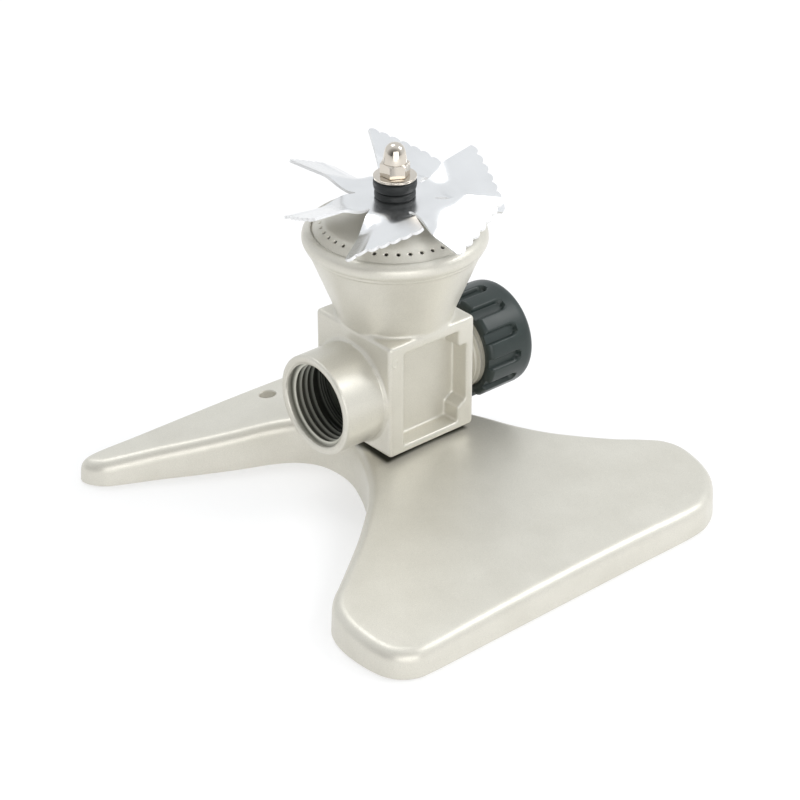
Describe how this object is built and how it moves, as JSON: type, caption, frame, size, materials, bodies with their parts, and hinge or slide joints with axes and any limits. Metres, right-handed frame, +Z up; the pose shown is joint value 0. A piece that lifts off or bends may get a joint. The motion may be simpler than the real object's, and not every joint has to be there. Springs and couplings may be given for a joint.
{
  "type": "turbine spray sprinkler",
  "caption": "Cast wing-base lawn sprinkler: hose inlet, capped outlet, funnel spray head and a spinning bladed turbine on a central spindle.",
  "frame": {"origin": "on the spindle axis at ground level, at the foot of the base's centre post", "axes": "+Z up along the spindle, -X out of the hose inlet, +X out of the capped outlet, -Y towards the wide front wing"},
  "size_m": [0.1616, 0.152, 0.1134],
  "materials": {
    "satin_paint": "satin champagne-grey metallic paint on zinc casting",
    "plated_steel": "zinc plated",
    "nickel": "bright nickel plate",
    "bright_aluminium": "bright rolled sheet",
    "hub_black": "moulded, dull",
    "cap_black": "moulded, semi-gloss",
    "black_rubber": "moulded",
    "grey_rubber": "moulded",
    "brass": "turned"
  },
  "bodies": {
    "sprinkler": {"base_casting": "satin_paint", "base_screw_left": "plated_steel", "base_screw_right": "plated_steel", "lock_washer_left": "plated_steel", "lock_washer_right": "plated_steel", "body_casting": "satin_paint", "inlet_washer": "black_rubber", "spray_plate": "satin_paint", "plate_seal": "black_rubber", "spindle": "plated_steel", "spindle_locknut": "plated_steel", "spindle_seal": "black_rubber", "thrust_washer": "nickel", "top_washer": "nickel", "acorn_nut": "nickel"},
    "turbine": {"turbine_plate": "bright_aluminium", "hub_spacer": "hub_black", "hub_grommet_lower": "hub_black", "hub_grommet_upper": "hub_black", "bearing_sleeve": "brass"},
    "cap_carrier": {"cap_gasket": "grey_rubber"},
    "cap": {"end_cap": "cap_black"}
  },
  "joints": [
    {"name": "turbine_spin", "type": "hinge", "parent": "sprinkler", "child": "turbine", "pos_m": [0, 0, 0.0958], "axis": [0, 0, 1], "continuous": true},
    {"name": "cap_travel", "type": "slide", "parent": "sprinkler", "child": "cap_carrier", "axis": [1, 0, 0], "range_m": [0, 0.0126]},
    {"name": "cap_turn", "type": "hinge", "parent": "cap_carrier", "child": "cap", "pos_m": [0.035, 0, 0.0357], "axis": [1, 0, 0], "range_deg": [0, 2065]}
  ],
  "couplings": [
    {"joint": "cap_turn", "follows": "cap_travel", "rad_per_m": 2844.4}
  ]
}
